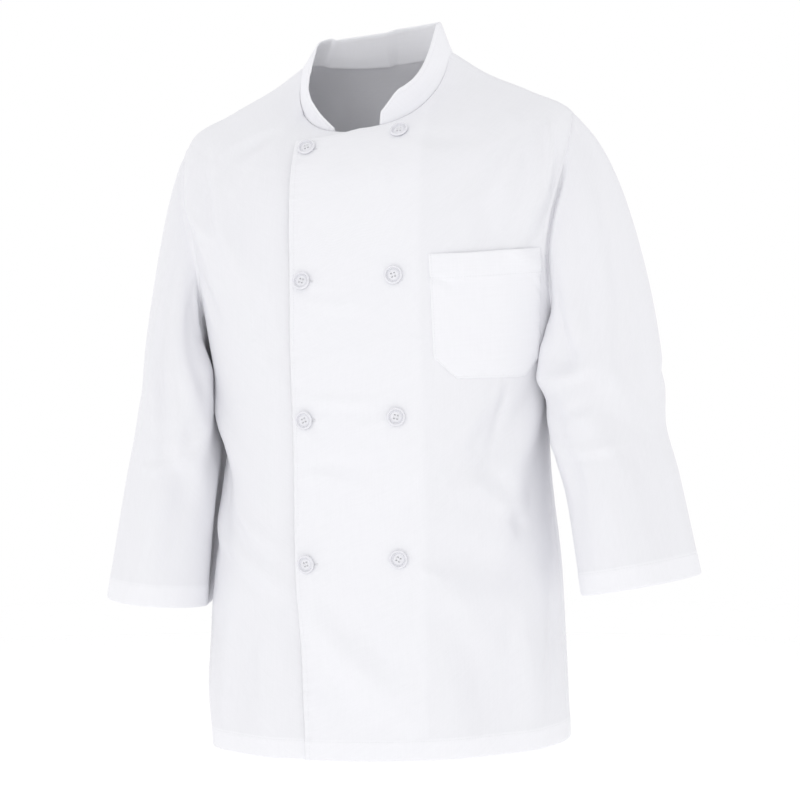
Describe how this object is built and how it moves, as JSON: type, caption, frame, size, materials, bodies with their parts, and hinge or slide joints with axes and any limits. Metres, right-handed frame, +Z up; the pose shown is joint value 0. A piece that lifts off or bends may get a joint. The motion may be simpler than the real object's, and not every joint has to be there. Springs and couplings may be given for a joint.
{
  "type": "chef jacket",
  "caption": "White double-breasted chef jacket with stand collar, breast patch pocket and three-quarter sleeves, hollow and shaped as worn.",
  "frame": {"origin": "midway between the two high shoulder points, where the shoulder seams meet the collar", "axes": "+Z up along the jacket's length, the wearer faces -Y, +X is the wearer's left"},
  "size_m": [0.659, 0.2534, 0.7989],
  "materials": {
    "cloth": "matt twill of polyester and cotton, with faint ribs",
    "button": "satin moulded plastic"
  },
  "bodies": {
    "root": {"front_left": "cloth", "front_right": "cloth", "back": "cloth", "collar": "cloth", "sleeve_left": "cloth", "sleeve_right": "cloth", "pocket": "cloth", "button_1": "button", "button_2": "button", "button_3": "button", "button_4": "button", "button_5": "button", "button_6": "button", "button_7": "button", "button_8": "button"}
  },
  "joints": []
}
